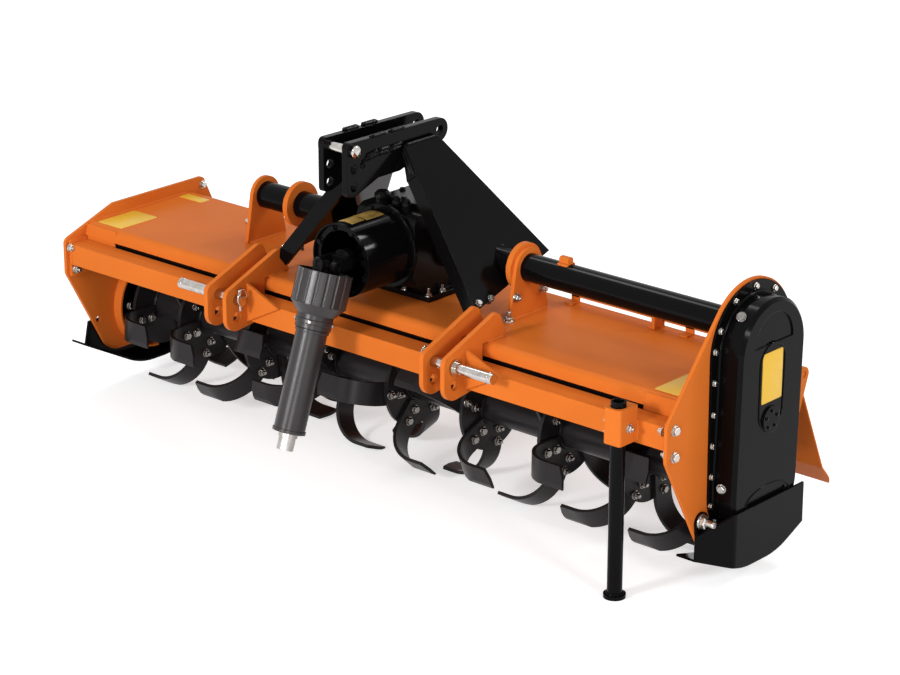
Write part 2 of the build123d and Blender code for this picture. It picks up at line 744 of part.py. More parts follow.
def skid_right():
    """Boat-shaped skid under the gear case: sole, wall turned in at the front, ear on the side plate."""
    outer_x = plate_outer_x + case_depth + skid_outer_gap + skid_sheet
    inner_x = across(outer_x - skid_width)
    line = skid_line(skid_front_back, skid_front_rise)
    wall_x = across(outer_x - skid_sheet / 2)
    ear_x = across(plate_outer_x + skid_sheet / 2)
    plan = FilletPolyline((ear_x, back(skid_front_back)), (wall_x, back(skid_turn_back)),
                          (wall_x, back(skid_rear_back)), radius=skid_turn_radius)
    wall = extrude(Plane.XY.offset(skid_sole_z) * trace(plan, skid_sheet), skid_wall_rise)
    front_rim = [(skid_turn_back, skid_sole_z + skid_wall_rise),
                 (skid_front_back, skid_sole_z + skid_front_wall)]
    wall = wall & above_sole(line, front_rim, inner_x, skid_width)
    rim = Polyline((wall_x, back(skid_rear_back)), (inner_x, back(skid_rear_back)),
                   (inner_x, back(skid_front_back)), (ear_x, back(skid_front_back)))
    footprint = extrude(Plane.XY.offset(skid_sole_z) * make_face(plan + rim), skid_wall_rise)
    sole = bent_sheet(line, skid_sheet, skid_bend_radius, inner_x, skid_width) & footprint
    radius = skid_ear_width / 2
    ear_z = skid_sole_z + skid_wall_rise - radius
    ear = round_outline([(skid_front_back + radius, ear_z, radius),
                         (skid_front_back + radius, skid_sole_z + skid_front_rise, radius / 2)])
    return sole + wall + along_x(ear, across(plate_outer_x), skid_sheet)


def skid_left():
    """Curved runner with a raised nose and a wall outside the left plate."""
    line = skid_line(skid_nose_back, skid_nose_rise)
    start_x = across(-plate_outer_x - skid_sheet)
    sole = bent_sheet(line, skid_sheet, skid_bend_radius, start_x, skid_left_width)
    top = (skid_nose_back + skid_nose_lip + skid_nose_slant, skid_sole_z + skid_wall_rise)
    wall = above_sole(line, [top], start_x, skid_sheet)
    lean = side_outline([(skid_nose_back, skid_sole_z), (skid_nose_back, skid_sole_z + skid_wall_rise),
                         top, (skid_nose_back + skid_nose_lip, skid_sole_z)])
    return sole + (wall - along_x(lean, start_x, skid_sheet))


def stand_sleeve():
    """Box on the beam's front, bored for the leg."""
    half = sleeve_width / 2
    bottom_z = beam_top_z + sleeve_above_beam - sleeve_below_top
    outline = Rectangle(sleeve_width, half - leg_back, align=(Align.CENTER, Align.MIN))
    outline = fillet(outline.vertices().sort_by(Axis.Y)[:2], sleeve_corner)
    outline = Pos(across(leg_x), back(leg_back - half)) * outline
    outline = outline - Pos(across(leg_x), back(leg_back)) * Circle(leg_radius + leg_gap)
    return extrude(Plane.XY.offset(bottom_z) * outline, sleeve_below_top)


def stand_leg():
    upright = (Align.CENTER, Align.CENTER, Align.MIN)
    tube = Cylinder(leg_radius, leg_length, align=upright)
    tube = tube - Cylinder(leg_radius - leg_wall, leg_length, align=upright)
    foot = Cylinder(leg_foot_radius, leg_foot_thick, align=upright)
    return Pos(across(leg_x), back(leg_back), 0) * (tube + foot)


def rotor_bearing():
    """Bearing hub on a bolted flange, inside the left plate."""
    start_x = across(-plate_inner_x)
    body = rod_x(start_x, bearing_flange_thick, rotor_y, rotor_axis_z, bearing_flange_radius)
    body = body + rod_x(start_x, bearing_hub_length, rotor_y, rotor_axis_z, bearing_hub_radius)
    for step in range(bearing_hole_count):
        angle = 2 * math.pi * step / bearing_hole_count
        hole_y = rotor_y + bearing_hole_circle * math.cos(angle)
        hole_z = rotor_axis_z + bearing_hole_circle * math.sin(angle)
        body = body - rod_x(start_x, bearing_flange_thick, hole_y, hole_z, bearing_hole_radius)
    return body - rod_x(start_x, bearing_hub_length, rotor_y, rotor_axis_z, rotor_stub_radius + running_gap)


def tine(hand):
    """One curved tine over the rotor's axis: radial shank, round bend, blade towards hand * X.

    Its end is cut on a slant, it leans so that its front edge is furthest out, and the tip circle trims it.
    """
    blade_z = tine_tip_radius - tine_thick / 2
    path = FilletPolyline((0, tine_root_radius), (0, blade_z), (tine_reach, blade_z), radius=tine_bend_radius)
    blade = extrude(Plane.XZ * trace(path, tine_thick), tine_width / 2, both=True)
    end = Pos(tine_reach, 0, tine_tip_radius) * Rot(0, 0, tine_end_slant)
    past_end = Box(tine_width, 2 * tine_width, 2 * tine_width, align=(Align.MIN, Align.CENTER, Align.CENTER))
    blade = blade - end * past_end
    blade = Pos(0, 0, tine_lean_radius) * Rot(-tine_lean, 0, 0) * Pos(0, 0, -tine_lean_radius) * blade
    blade = blade & rod_x(-tine_reach, 2 * tine_reach, 0, 0, tine_tip_radius)
    return blade if hand > 0 else mirror(blade, Plane.YZ)


def rotor():
    """Tube with stub ends, flanges in a helix, each with tines of both hands; end flanges face inwards."""
    tube_length = working_width - 2 * rotor_end_gap
    body = rod_x(-tube_length / 2, tube_length, 0, 0, rotor_tube_radius)
    stub_start = -plate_inner_x + running_gap
    body = body + rod_x(stub_start, plate_outer_x - running_gap - stub_start, 0, 0, rotor_stub_radius)
    end_x = plate_inner_x - end_flange_gap
    sets = [(-end_x, left_end_tine_deg, [1]), (end_x, right_end_tine_deg, [-1])]
    for index in range(flange_count):
        x = (index - (flange_count - 1) / 2) * flange_pitch + flange_shift
        sets.append((x, first_tine_deg - index * flange_twist, [-1, 1]))
    tines = {hand: tine(hand) for hand in (-1, 1)}
    for x, turn, hands in sets:
        body = body + rod_x(x - flange_thick / 2, flange_thick, 0, 0, flange_radius)
        for order, hand in enumerate(hands):
            offset_x = x + hand * (flange_thick + tine_thick) / 2
            for step in range(tine_pairs):
                angle = turn + (step + order / 2) * 360 / tine_pairs
                body = body + Rot(angle, 0, 0) * Pos(offset_x, 0, 0) * tines[hand]
    return Pos(mid_x, rotor_y, rotor_axis_z) * body


def all_parts():
    left_near, left_far = link_plate_starts(-1)
    right_near, right_far = link_plate_starts(1)
    tube_start = gearbox_half_width + boss_length
    mast_left, mast_right = mast_plate(-1), mast_plate(1)
    return {
        "side_plate_left": side_plate_left(),
        "side_plate_right": side_plate_right(),
        "front_beam": front_beam(),
        "hood": hood(),
        "link_plate_left_inner": link_plate(left_near, gusset=True) - mast_left,
        "link_plate_left_outer": link_plate(left_far),
        "link_plate_right_inner": link_plate(right_near) - mast_right,
        "link_plate_right_outer": link_plate(right_far, gusset=True),
        "link_pin_left": link_pin(-1),
        "link_pin_right": link_pin(1),
        "mast_plate_left": mast_left,
        "mast_plate_right": mast_right,
        "top_link_plate_left": top_link_plate(-1),
        "top_link_plate_right": top_link_plate(1),
        "top_link_pin": top_link_pin(),
        "gearbox_housing": gearbox_housing(),
        "gearbox_cover": gearbox_cover(),
        "input_guard": input_guard(),
        "input_yoke": input_yoke(),
        "drive_tube_right": drive_tube(tube_start, plate_inner_x),
        "drive_tube_left": drive_tube(-left_tube_outer_x, -tube_start),
        "tube_flange_right": tube_flange(right_disc_x - tube_flange_thick),
        "tube_flange_left": tube_flange(-left_disc_x),
        "tube_clamp_right": tube_clamp(right_disc_x),
        "tube_clamp_left": tube_clamp(-left_tube_outer_x),
        "hood_brace": hood_brace(),
        "gear_case": gear_case(),
        "skid_right": skid_right(),
        "skid_left": skid_left(),
        "stand_sleeve": stand_sleeve(),
        "rotor_bearing": rotor_bearing(),
        "rotor": rotor(),
        "stand_leg": stand_leg(),
        "rear_board": rear_board(),
        "pto_cross": pto_cross(),
        "pto_yoke": pto_yoke(),
        "pto_guard": pto_guard(),
        "pto_inner_shaft": pto_inner_shaft(),
    }


os.makedirs("parts", exist_ok=True)
for name, solid in all_parts().items():
    export_step(solid, f"parts/{name}.step")
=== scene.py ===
import json
import math

import bmesh
import bpy
from mathutils import Matrix, Vector


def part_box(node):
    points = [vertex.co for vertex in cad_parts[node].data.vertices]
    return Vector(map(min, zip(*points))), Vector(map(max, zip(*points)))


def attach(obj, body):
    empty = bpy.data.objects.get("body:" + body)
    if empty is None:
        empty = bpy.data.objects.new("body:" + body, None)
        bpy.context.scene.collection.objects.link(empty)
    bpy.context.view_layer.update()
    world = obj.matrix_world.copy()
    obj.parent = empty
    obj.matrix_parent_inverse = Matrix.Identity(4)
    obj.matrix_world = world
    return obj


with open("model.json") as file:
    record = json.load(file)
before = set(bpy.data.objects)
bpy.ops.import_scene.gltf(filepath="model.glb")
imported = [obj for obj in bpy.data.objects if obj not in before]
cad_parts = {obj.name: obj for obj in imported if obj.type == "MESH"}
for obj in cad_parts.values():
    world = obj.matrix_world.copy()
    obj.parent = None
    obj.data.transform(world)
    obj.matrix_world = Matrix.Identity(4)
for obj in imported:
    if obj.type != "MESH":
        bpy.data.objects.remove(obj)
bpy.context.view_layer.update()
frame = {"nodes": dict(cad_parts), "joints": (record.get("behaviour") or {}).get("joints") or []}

# Orange plate work: beam, hood, side plates, link plates, brackets and rear board.
# Welded mild steel, shot-blasted and powder coated in gloss orange, with a faint orange-peel skin.
beam_low, beam_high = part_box("front_beam")
mid_x = (beam_low.x + beam_high.x) / 2
front_y = beam_low.y


def at(x, back, z):
    """Place measured across from the machine's middle, back from the beam's front face, and up."""
    return Vector((mid_x + x, front_y + back, z))


def paint(name, colour, deep, roughness, specular, peel=0.03, edge=0.0022):
    """Sprayed coat: two close shades in soft clouds, uneven gloss, fine skin, edges that catch the light."""
    material = bpy.data.materials.new(name)
    material.use_nodes = True
    nodes, links = material.node_tree.nodes, material.node_tree.links
    shader = nodes["Principled BSDF"]
    shader.inputs["Specular IOR Level"].default_value = specular
    place = nodes.new("ShaderNodeTexCoord")
    clouds = nodes.new("ShaderNodeTexNoise")
    clouds.inputs["Scale"].default_value = 4.0
    clouds.inputs["Detail"].default_value = 5.0
    shades = nodes.new("ShaderNodeValToRGB")
    shades.color_ramp.elements[0].position = 0.15
    shades.color_ramp.elements[0].color = (*deep, 1)
    shades.color_ramp.elements[1].position = 0.85
    shades.color_ramp.elements[1].color = (*colour, 1)
    gloss = nodes.new("ShaderNodeMapRange")
    gloss.inputs["To Min"].default_value = roughness * 0.9
    gloss.inputs["To Max"].default_value = roughness * 1.1
    skin = nodes.new("ShaderNodeTexNoise")
    skin.inputs["Scale"].default_value = 420.0
    rounded = nodes.new("ShaderNodeBevel")
    rounded.samples = 4
    rounded.inputs["Radius"].default_value = edge
    bump = nodes.new("ShaderNodeBump")
    bump.inputs["Strength"].default_value = peel
    bump.inputs["Distance"].default_value = 0.001
    for texture in (clouds, skin):
        links.new(place.outputs["Object"], texture.inputs["Vector"])
    links.new(clouds.outputs["Fac"], shades.inputs["Fac"])
    links.new(shades.outputs["Color"], shader.inputs["Base Color"])
    links.new(clouds.outputs["Fac"], gloss.inputs["Value"])
    links.new(gloss.outputs["Result"], shader.inputs["Roughness"])
    links.new(skin.outputs["Fac"], bump.inputs["Height"])
    links.new(rounded.outputs["Normal"], bump.inputs["Normal"])
    links.new(bump.outputs["Normal"], shader.inputs["Normal"])
    return material


def dress(material, *names):
    """Give CAD nodes their finish."""
    for name in names:
        mesh = frame["nodes"][name].data
        mesh.materials.clear()
        mesh.materials.append(material)


orange_coat = paint("orange_coat", (0.67, 0.168, 0.026), (0.60, 0.138, 0.019), 0.30, 0.02)
dress(orange_coat, "side_plate_left", "side_plate_right", "front_beam", "hood", "link_plate_left_inner",
      "link_plate_left_outer", "link_plate_right_inner", "link_plate_right_outer", "tube_flange_right",
      "tube_flange_left", "tube_clamp_right", "tube_clamp_left", "hood_brace", "stand_sleeve", "rear_board")

# Beam-end bolts: zinc-plated hexagon bolts with washers through each side plate and the flange
# on the end of the beam, heads outside and nuts inside, with one more head inside the left
# plate's rear corner.


def span(name):
    """A CAD node's lowest and highest corners, measured as at() measures."""
    low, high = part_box(name)
    start = at(0, 0, 0)
    return low - start, high - start


def zinc_finish(name, colour, roughness):
    """Bright plated steel with streaks from the barrel and slightly dull patches."""
    material = bpy.data.materials.new(name)
    material.use_nodes = True
    nodes, links = material.node_tree.nodes, material.node_tree.links
    shader = nodes["Principled BSDF"]
    shader.inputs["Metallic"].default_value = 1.0
    place = nodes.new("ShaderNodeTexCoord")
    spread = nodes.new("ShaderNodeTexNoise")
    spread.inputs["Scale"].default_value = 60.0
    spread.inputs["Detail"].default_value = 6.0
    tones = nodes.new("ShaderNodeValToRGB")
    tones.color_ramp.elements[0].position = 0.3
    tones.color_ramp.elements[0].color = (colour[0] * 0.72, colour[1] * 0.70, colour[2] * 0.68, 1)
    tones.color_ramp.elements[1].position = 0.7
    tones.color_ramp.elements[1].color = (*colour, 1)
    gloss = nodes.new("ShaderNodeMapRange")
    gloss.inputs["To Min"].default_value = roughness * 0.7
    gloss.inputs["To Max"].default_value = roughness * 1.4
    rounded = nodes.new("ShaderNodeBevel")
    rounded.samples = 4
    rounded.inputs["Radius"].default_value = 0.0008
    links.new(place.outputs["Object"], spread.inputs["Vector"])
    links.new(spread.outputs["Fac"], tones.inputs["Fac"])
    links.new(tones.outputs["Color"], shader.inputs["Base Color"])
    links.new(spread.outputs["Fac"], gloss.inputs["Value"])
    links.new(gloss.outputs["Result"], shader.inputs["Roughness"])
    links.new(rounded.outputs["Normal"], shader.inputs["Normal"])
    return material


def turned_to(axis):
    """Rotation that takes +Z to an axis."""
    return Vector((0, 0, 1)).rotation_difference(Vector(axis)).to_matrix().to_4x4()


def hex_bolt(bm, foot, axis, flats, tip=0.0):
    """Washer, hexagon with a chamfered crown and, where tip is given, the end of the thread."""
    stand = Matrix.Translation(foot) @ turned_to(axis)
    corner = flats / math.sqrt(3)
    washer = flats * 0.12
    height = flats * 0.42
    thread = flats * 0.30
    layers = [(20, corner * 1.22, corner * 1.18, washer),
              (6, corner, corner, height * 0.8),
              (6, corner, corner * 0.84, height * 0.2)]
    if tip:
        layers += [(14, thread, thread, tip * 0.85), (14, thread, thread * 0.8, tip * 0.15)]
    start = 0
    for sides, low, high, depth in layers:
        place = stand @ Matrix.Translation((0, 0, start + depth / 2))
        bmesh.ops.create_cone(bm, cap_ends=True, segments=sides, radius1=low, radius2=high, depth=depth,
                              matrix=place)
        start += depth


def piece(name, bm, material, body, smooth_deg=35):
    """Turn a bmesh into a finished object that rides on a CAD body."""
    bmesh.ops.recalc_face_normals(bm, faces=bm.faces)
    mesh = bpy.data.meshes.new(name)
    bm.to_mesh(mesh)
    bm.free()
    mesh.shade_smooth()
    mesh.set_sharp_from_angle(angle=math.radians(smooth_deg))
    mesh.materials.append(material)
    made = bpy.data.objects.new(name, mesh)
    bpy.context.scene.collection.objects.link(made)
    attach(made, body)


bright_zinc = zinc_finish("bright_zinc", (0.58, 0.56, 0.53), 0.26)
plate_inner = span("side_plate_right")[0].x
plate_outer = span("side_plate_right")[1].x
flange_inner = plate_inner - 0.008
end_bolt_b, end_flats = 0.016, 0.020
low_bolt_z, high_bolt_z = 0.380, 0.448
high_nut_b, high_nut_z, high_nut_flats = -0.002, 0.446, 0.018
corner_b, corner_z, corner_flats = 0.520, 0.510, 0.018
bm = bmesh.new()
for side in (-1, 1):
    for bolt_z in (low_bolt_z, high_bolt_z):
        hex_bolt(bm, at(side * plate_outer, end_bolt_b, bolt_z), (side, 0, 0), end_flats)
    hex_bolt(bm, at(side * flange_inner, end_bolt_b, low_bolt_z), (-side, 0, 0), end_flats, tip=0.008)
    hex_bolt(bm, at(side * flange_inner, high_nut_b, high_nut_z), (-side, 0, 0), high_nut_flats, tip=0.006)
hex_bolt(bm, at(-plate_inner, corner_b, corner_z), (1, 0, 0), corner_flats)
piece("beam_end_bolts", bm, bright_zinc, "frame")

# Weld beads: where plates meet the beam and the hood, laid by hand in short ripples
# and painted over with the same orange.


def of_kind(grown, kind):
    """Elements of one kind among what an extrusion made."""
    return [part for part in grown["geom"] if isinstance(part, kind)]


def weld_bead(bm, start, end, radius=0.0045):
    """Rippled bead from start to end: a small ring drawn out in steps that swell and shrink."""
    ripple, thin, full, waist = 0.005, 0.5, 1.0, 0.86
    start, end = Vector(start), Vector(end)
    run = end - start
    steps = max(4, int(run.length / ripple))
    stand = Matrix.Translation(start) @ turned_to(run)
    ring = bmesh.ops.create_circle(bm, cap_ends=True, segments=8, radius=radius * thin, matrix=stand)
    edges = list(dict.fromkeys(edge for vert in ring["verts"] for edge in vert.link_edges))
    size = thin
    for step in range(1, steps + 1):
        grown = bmesh.ops.extrude_edge_only(bm, edges=edges)
        verts = of_kind(grown, bmesh.types.BMVert)
        edges = of_kind(grown, bmesh.types.BMEdge)
        bmesh.ops.translate(bm, verts=verts, vec=run / steps)
        target = full if step % 2 else waist
        if step == steps:
            target = thin
        centre = Matrix.Translation(-(start + run * step / steps))
        bmesh.ops.scale(bm, verts=verts, vec=Vector((1, 1, 1)) * target / size, space=centre)
        size = target
    bmesh.ops.edgeloop_fill(bm, edges=edges)


beam_bottom, beam_top = 0.396, 0.456
hood_top = span("hood")[1].z
link_thick = 0.014
beam_run, hood_run = (0.004, 0.058), (0.078, 0.140)
edge_run, clamp_run = (0.080, 0.460), (0.244, 0.376)
sleeve_low, sleeve_high = span("stand_sleeve")
bm = bmesh.new()
for name in ("link_plate_left_outer", "link_plate_left_inner", "link_plate_right_inner",
             "link_plate_right_outer"):
    link_x = span(name)[0].x
    for weld_x in (link_x, link_x + link_thick):
        weld_bead(bm, at(weld_x, 0, beam_bottom), at(weld_x, 0, beam_top))
        weld_bead(bm, *(at(weld_x, back, beam_top) for back in beam_run))
        weld_bead(bm, *(at(weld_x, back, hood_top) for back in hood_run))
for weld_x in (sleeve_low.x, sleeve_high.x):
    weld_bead(bm, at(weld_x, 0, sleeve_low.z), at(weld_x, 0, beam_top))
for side in (-1, 1):
    weld_bead(bm, *(at(side * plate_inner, back, hood_top) for back in edge_run), radius=0.004)
    weld_bead(bm, *(at(side * flange_inner, 0, z) for z in (beam_bottom, beam_top)), radius=0.004)
for name in ("tube_clamp_left", "tube_clamp_right"):
    for corner in span(name):
        weld_bead(bm, *(at(corner.x, back, hood_top) for back in clamp_run), radius=0.005)
piece("frame_welds", bm, orange_coat, "frame", smooth_deg=60)

# Rear stiffener: a folded angle along the right half of the hood's rear edge,
# held off the sheet by small bent feet, spot welded and painted orange.


def x_bar(bm, profile, start_x, end_x):
    """Bar along X with a profile given as (back, height) points."""
    face = bm.faces.new([bm.verts.new(at(start_x, back, z)) for back, z in profile])
    grown = bmesh.ops.extrude_face_region(bm, geom=[face])
    bmesh.ops.translate(bm, verts=of_kind(grown, bmesh.types.BMVert), vec=(end_x - start_x, 0, 0))


angle_section = ((0.458, 0.515), (0.462, 0.515), (0.462, 0.546),
                 (0.486, 0.546), (0.486, 0.550), (0.458, 0.550))
foot_section = ((0.430, 0.500), (0.462, 0.500), (0.462, 0.520),
                (0.458, 0.520), (0.458, 0.504), (0.430, 0.504))
angle_from, angle_to = 0.385, 1.048
foot_wide = 0.026
bm = bmesh.new()
x_bar(bm, angle_section, angle_from, angle_to)
for foot_x in (angle_from, 0.660, 0.755, 0.842, angle_to - foot_wide):
    x_bar(bm, foot_section, foot_x, foot_x + foot_wide)
piece("rear_stiffener", bm, orange_coat, "frame")

# Blank plates on the hood: thin yellow sheet with rounded corners and a soft rim,
# stuck flat on the paint, two at the left end and one at the right.


def blank_plate(bm, centre, across, along, half_across, half_along, corner, thick=0.0012):
    """Thin plate with rounded corners and a softened rim, lying on a surface."""
    across, along = Vector(across), Vector(along)
    corner_steps = 4
    outline = []
    for u, v, start in ((1, 1, 0), (-1, 1, 90), (-1, -1, 180), (1, -1, 270)):
        for step in range(corner_steps + 1):
            angle = math.radians(start + step * 90 / corner_steps)
            du = u * (half_across - corner) + corner * math.cos(angle)
            dv = v * (half_along - corner) + corner * math.sin(angle)
            outline.append(bm.verts.new(centre + across * du + along * dv))
    grown = bmesh.ops.extrude_face_region(bm, geom=[bm.faces.new(outline)])
    top = of_kind(grown, bmesh.types.BMFace)[0]
    bmesh.ops.translate(bm, verts=of_kind(grown, bmesh.types.BMVert), vec=across.cross(along) * thick)
    bmesh.ops.bevel(bm, geom=list(top.edges), offset=thick * 0.4, offset_type="OFFSET", segments=2,
                    profile=0.5, affect="EDGES", material=-1)


plate_yellow = paint("plate_yellow", (0.78, 0.47, 0.035), (0.72, 0.42, 0.028), 0.38, 0.4,
                     peel=0.01, edge=0.0004)
bm = bmesh.new()
for x, back, half_across, half_along, corner in ((-0.985, 0.165, 0.048, 0.070, 0.005),
                                                 (-0.990, 0.430, 0.045, 0.018, 0.004),
                                                 (0.985, 0.165, 0.048, 0.070, 0.005)):
    blank_plate(bm, at(x, back, hood_top), (1, 0, 0), (0, 1, 0), half_across, half_along, corner)
piece("hood_plates", bm, plate_yellow, "frame")

# Headstock: two splayed mast plates with a folded front edge and two upper plates, cut from
# thick plate, welded with heavy beads and enamelled gloss black. The beads come with the
# tapered tips of the folds.
black_enamel = paint("black_enamel", (0.0034, 0.0030, 0.0032), (0.0024, 0.0021, 0.0023), 0.12, 0.062,
                     peel=0.02)
dress(black_enamel, "mast_plate_left", "mast_plate_right", "top_link_plate_left", "top_link_plate_right",
      "input_guard", "drive_tube_right", "drive_tube_left", "gear_case", "skid_right", "skid_left",
      "stand_leg", "rotor_bearing")
mast_top_x, mast_top_z = 0.050, 0.913
mast_foot_x, mast_foot_z = 0.343, 0.544
mast_run = Vector((mast_foot_x - mast_top_x, 0, mast_foot_z - mast_top_z)).normalized()
mast_out = Vector((-mast_run.z, 0, mast_run.x))
mast_thick = 0.012


def on_mast(side, down, back, lift):
    """Place on a mast plate, down its slope from the top and lifted off its inner face."""
    flat = Vector((mast_top_x, 0, mast_top_z)) + mast_run * down + mast_out * lift
    return at(side * flat.x, back, flat.z)


upper_out = span("top_link_plate_right")[1].x
mast_beads = (((0.002, 0.176, mast_thick), (0.002, 0.296, mast_thick), 0.005),
              ((0.004, 0.172, 0.004), (0.086, 0.163, 0.004), 0.006),
              ((0.010, 0.170, -0.004), (0.080, 0.162, -0.006), 0.005))
stitch_long, stitch_fall = 0.055, 0.012
stitch_start_z, stitch_end_z = 0.9635, 0.9630
edge_path = ((0.024, 0.889), (0.036, 0.910), (0.080, 0.915), (0.126, 0.914), (0.172, 0.916))
second_pass_x = upper_out + 0.001
fold_tip = ((0.086, 0.1595, 0.0), (0.086, 0.1595, -0.030), (0.012, 0.1705, -0.004), (0.012, 0.1705, 0.0))
bm = bmesh.new()
for side in (-1, 1):
    for start, end, radius in mast_beads:
        weld_bead(bm, on_mast(side, *start), on_mast(side, *end), radius)
    for stitch_b in (0.060, 0.130):
        for lane, rise in ((0.045, 0.0), (0.049, 0.001)):
            lift = rise - stitch_b * stitch_fall
            weld_bead(bm, at(side * lane, stitch_b, stitch_start_z + lift),
                      at(side * lane, stitch_b + stitch_long, stitch_end_z + lift), radius=0.0055)
    for start, end in zip(edge_path, edge_path[1:]):
        weld_bead(bm, at(side * upper_out, *start), at(side * upper_out, *end), radius=0.0075)
    for start, end in zip(edge_path[1:], edge_path[2:]):
        weld_bead(bm, at(side * second_pass_x, start[0] + 0.006, start[1] + 0.008),
                  at(side * second_pass_x, end[0] + 0.002, end[1] + 0.009), radius=0.006)
    tip = bm.faces.new([bm.verts.new(on_mast(side, *corner)) for corner in fold_tip])
    web = bmesh.ops.extrude_face_region(bm, geom=[tip])
    bmesh.ops.translate(bm, verts=of_kind(web, bmesh.types.BMVert), vec=(0, mast_thick, 0))
piece("headstock_welds", bm, black_enamel, "frame", smooth_deg=60)

# Painted shade in the slot: a thin black sheet behind the open slot between beam and hood, along the hood's
# front edge, stands in for the shade inside the machine, so that the slot stays dark.
shade_strip_section = ((0.0660, 0.409), (0.0675, 0.406), (0.0690, 0.406), (0.0690, 0.474), (0.0660, 0.474))
shade_strip_half = 0.932
bm = bmesh.new()
x_bar(bm, shade_strip_section, -shade_strip_half, shade_strip_half)
# This black strip is painted shade, not a part of the machine.
piece("painted_shade_strip", bm, black_enamel, "frame")

# Mast bolts: two dull zinc bolts through the foot of each mast plate,
# heads on its outer face and nuts on its inner face.
dull_zinc = zinc_finish("dull_zinc", (0.36, 0.345, 0.33), 0.20)
foot_down = 0.452
bm = bmesh.new()
for bolt_b in (0.140, 0.188):
    for side in (-1, 1):
        outward = Vector((side * mast_out.x, 0, mast_out.z))
        hex_bolt(bm, on_mast(side, foot_down, bolt_b, mast_thick), outward, flats=0.014)
        hex_bolt(bm, on_mast(side, foot_down, bolt_b, 0), -outward, flats=0.015, tip=0.006)
piece("mast_bolts", bm, dull_zinc, "frame")

# Hitch pins: turned steel, zinc plated, through the link plates and between the upper plates,
# with turned heads on the top pin and sprung linch clips on the inner ends of the lower pins.


def turned(bm, foot, axis, profile, closed=False, steps=32):
    """Turned part from (radius, height) points about an axis through foot."""
    stand = Matrix.Translation(foot) @ turned_to(axis)
    verts = [bm.verts.new(stand @ Vector((radius, 0, height))) for radius, height in profile]
    edges = [bm.edges.new(pair) for pair in zip(verts, verts[1:])]
    if closed:
        edges.append(bm.edges.new((verts[-1], verts[0])))
    bmesh.ops.spin(bm, geom=verts + edges, cent=foot, axis=Vector(axis), dvec=(0, 0, 0),
                   angle=2 * math.pi, steps=steps, use_merge=True, use_duplicate=False)
    bmesh.ops.remove_doubles(bm, verts=bm.verts, dist=1e-6)


def circle_profile(ring_radius, radius, points=8):
    """Round wire section at a distance from the axis."""
    return [(ring_radius + radius * math.cos(step * 2 * math.pi / points),
             radius * math.sin(step * 2 * math.pi / points)) for step in range(points)]


def middle(name):
    """Middle of a CAD node's box, measured as at() measures."""
    low, high = span(name)
    return (low + high) / 2


pin_chrome = zinc_finish("pin_chrome", (0.60, 0.575, 0.55), 0.14)
dress(pin_chrome, "link_pin_left", "link_pin_right", "top_link_pin")
pin_b, pin_z = middle("link_pin_right").yz
top_pin_b, top_pin_z = middle("top_link_pin").yz
shank_x = span("link_pin_right")[0].x + 0.010
ring_x = span("link_pin_right")[0].x + 0.004
groove_x = span("link_pin_right")[1].x - 0.012
pin_head = ((0, 0.012), (0.0135, 0.012), (0.0165, 0.0095), (0.0165, 0.0005), (0.0125, 0.0005))
clip_shank = ((0, 0), (0.0035, 0.002), (0.0045, 0.006), (0.0045, 0.052),
              (0.0065, 0.053), (0.0065, 0.060), (0, 0.062))
bm = bmesh.new()
for side in (-1, 1):
    turned(bm, at(side * upper_out, top_pin_b, top_pin_z), (side, 0, 0), pin_head)
    turned(bm, at(side * shank_x, pin_b, pin_z - 0.030), (0, 0, 1), clip_shank, steps=14)
    turned(bm, at(side * ring_x, pin_b + 0.002, pin_z + 0.010), (1, 0.25, 0),
           circle_profile(0.021, 0.002), closed=True, steps=30)
    turned(bm, at(side * groove_x, pin_b, pin_z), (side, 0, 0), circle_profile(0.0140, 0.0011), closed=True)
piece("pin_clips", bm, pin_chrome, "frame", smooth_deg=50)

# Input guard: rolled steel tube over the input joint, a bolted ring in its mouth, a rear collar
# on the casting, and two blank brass-coloured plates on its top.
guard_z = middle("input_guard").z
guard_radius = span("input_guard")[1].x
mouth_b, collar_b = 0.010, 0.165
mouth_ring = ((0.078, 0), (0.0935, 0), (0.0935, 0.005), (0.078, 0.005))
rear_collar = ((0.0985, 0), (0.112, 0), (0.112, 0.008), (0.110, 0.010), (0.0985, 0.010))
bm = bmesh.new()
for ring_b, section in ((mouth_b, mouth_ring), (collar_b, rear_collar)):
    turned(bm, at(0, ring_b, guard_z), (0, -1, 0), section, closed=True, steps=64)
piece("guard_rings", bm, black_enamel, "frame")


def round_input(back, radius, degrees):
    """Place on a circle about the input's axis, counted from +X upwards."""
    turn = math.radians(degrees)
    return at(radius * math.cos(turn), back, guard_z + radius * math.sin(turn))


mouth_face, mouth_radius = mouth_b - 0.005, 0.0855
collar_face, collar_radius = collar_b - 0.010, 0.105
bm = bmesh.new()
for degrees in range(22, 360, 45):
    hex_bolt(bm, round_input(mouth_face, mouth_radius, degrees), (0, -1, 0), flats=0.015)
    underneath = 225 < degrees < 315
    if not underneath:
        hex_bolt(bm, round_input(collar_face, collar_radius, degrees), (0, -1, 0), flats=0.010)
piece("guard_bolts", bm, black_enamel, "frame")


def saddle_plate(bm, back_from, back_to, turn_from, turn_to, thick=0.0008):
    """Thin blank plate rolled onto the guard, turns counted from the top towards +X."""
    steps = 8
    rows = []
    for step in range(steps + 1):
        degrees = 90 - (turn_from + (turn_to - turn_from) * step / steps)
        rows.append([bm.verts.new(round_input(back, guard_radius, degrees))
                     for back in (back_from, back_to)])
    faces = [bm.faces.new((low[0], low[1], high[1], high[0])) for low, high in zip(rows, rows[1:])]
    grown = bmesh.ops.extrude_face_region(bm, geom=faces)
    for vert in of_kind(grown, bmesh.types.BMVert):
        away = Vector((vert.co.x - mid_x, 0, vert.co.z - guard_z)).normalized()
        vert.co += away * thick


